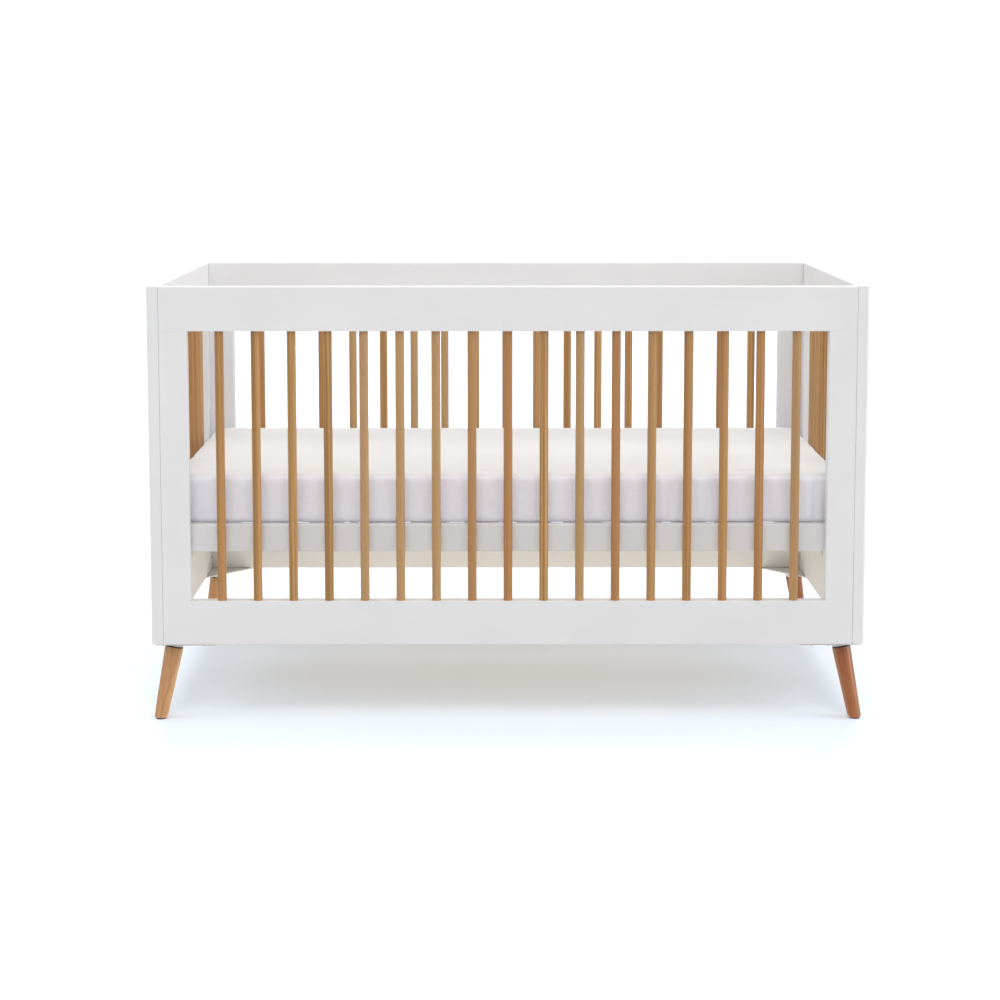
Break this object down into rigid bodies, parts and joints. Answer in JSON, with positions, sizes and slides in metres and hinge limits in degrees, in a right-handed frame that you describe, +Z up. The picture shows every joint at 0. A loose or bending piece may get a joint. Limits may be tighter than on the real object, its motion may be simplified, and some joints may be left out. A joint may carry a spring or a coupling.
{
  "type": "baby crib",
  "caption": "Spindle-sided baby crib with white panels, natural beech spindles, splayed turned legs, an adjustable slatted base and a loose mattress.",
  "frame": {"origin": "centre of the crib's footprint at floor level", "axes": "+X along the length, towards the right end seen from the front; the front panel faces -Y; +Z up"},
  "size_m": [1.452, 0.764, 0.89],
  "materials": {
    "white_paint": "satin",
    "natural_beech": "satin",
    "oiled_beech": "satin",
    "bare_pine": "matte",
    "white_steel": "satin",
    "zinc_steel": "satin",
    "dark_washer": "matte",
    "insert_brass": "satin",
    "foot_glide": "matte",
    "white_plastic": "satin",
    "mattress_ticking": "matte"
  },
  "bodies": {
    "frame": {"front_top_rail": "white_paint", "front_bottom_rail": "white_paint", "front_left_stile": "white_paint", "front_right_stile": "white_paint", "front_spindles": "natural_beech", "rear_top_rail": "white_paint", "rear_bottom_rail": "white_paint", "rear_left_stile": "white_paint", "rear_right_stile": "white_paint", "rear_spindles": "natural_beech", "left_end_top_rail": "white_paint", "left_end_bottom_rail": "white_paint", "left_end_front_stile": "white_paint", "left_end_rear_stile": "white_paint", "left_end_spindles": "natural_beech", "right_end_top_rail": "white_paint", "right_end_bottom_rail": "white_paint", "right_end_front_stile": "white_paint", "right_end_rear_stile": "white_paint", "right_end_spindles": "natural_beech", "front_left_leg": "oiled_beech", "front_right_leg": "oiled_beech", "rear_left_leg": "oiled_beech", "rear_right_leg": "oiled_beech", "front_left_leg_bracket": "white_steel", "front_right_leg_bracket": "white_steel", "rear_left_leg_bracket": "white_steel", "rear_right_leg_bracket": "white_steel", "front_left_foot_pad": "foot_glide", "front_right_foot_pad": "foot_glide", "rear_left_foot_pad": "foot_glide", "rear_right_foot_pad": "foot_glide", "leg_washers": "dark_washer", "leg_bolts": "zinc_steel", "bracket_screws": "zinc_steel", "connector_bolts": "zinc_steel", "barrel_nuts": "zinc_steel", "panel_dowels": "bare_pine", "stile_dowels": "bare_pine", "threaded_inserts": "insert_brass", "support_bolts": "zinc_steel"},
    "base": {"base_front_rail": "white_paint", "base_rear_rail": "white_paint", "base_left_rail": "white_paint", "base_right_rail": "white_paint", "base_centre_rail": "bare_pine", "front_cleat": "bare_pine", "rear_cleat": "bare_pine", "slats": "bare_pine", "slat_screws": "zinc_steel", "base_dowels": "bare_pine", "left_hook_board": "white_paint", "right_hook_board": "white_paint", "hook_board_bolts": "zinc_steel", "cover_caps": "white_plastic"},
    "mattress": {"mattress": "mattress_ticking"}
  },
  "joints": [
    {"name": "base_height", "type": "slide", "parent": "frame", "child": "base", "axis": [0, 0, 1], "range_m": [0, 0.111]},
    {"name": "mattress_lift", "type": "slide", "parent": "base", "child": "mattress", "axis": [0, 0, 1], "range_m": [0, 0.5]}
  ]
}
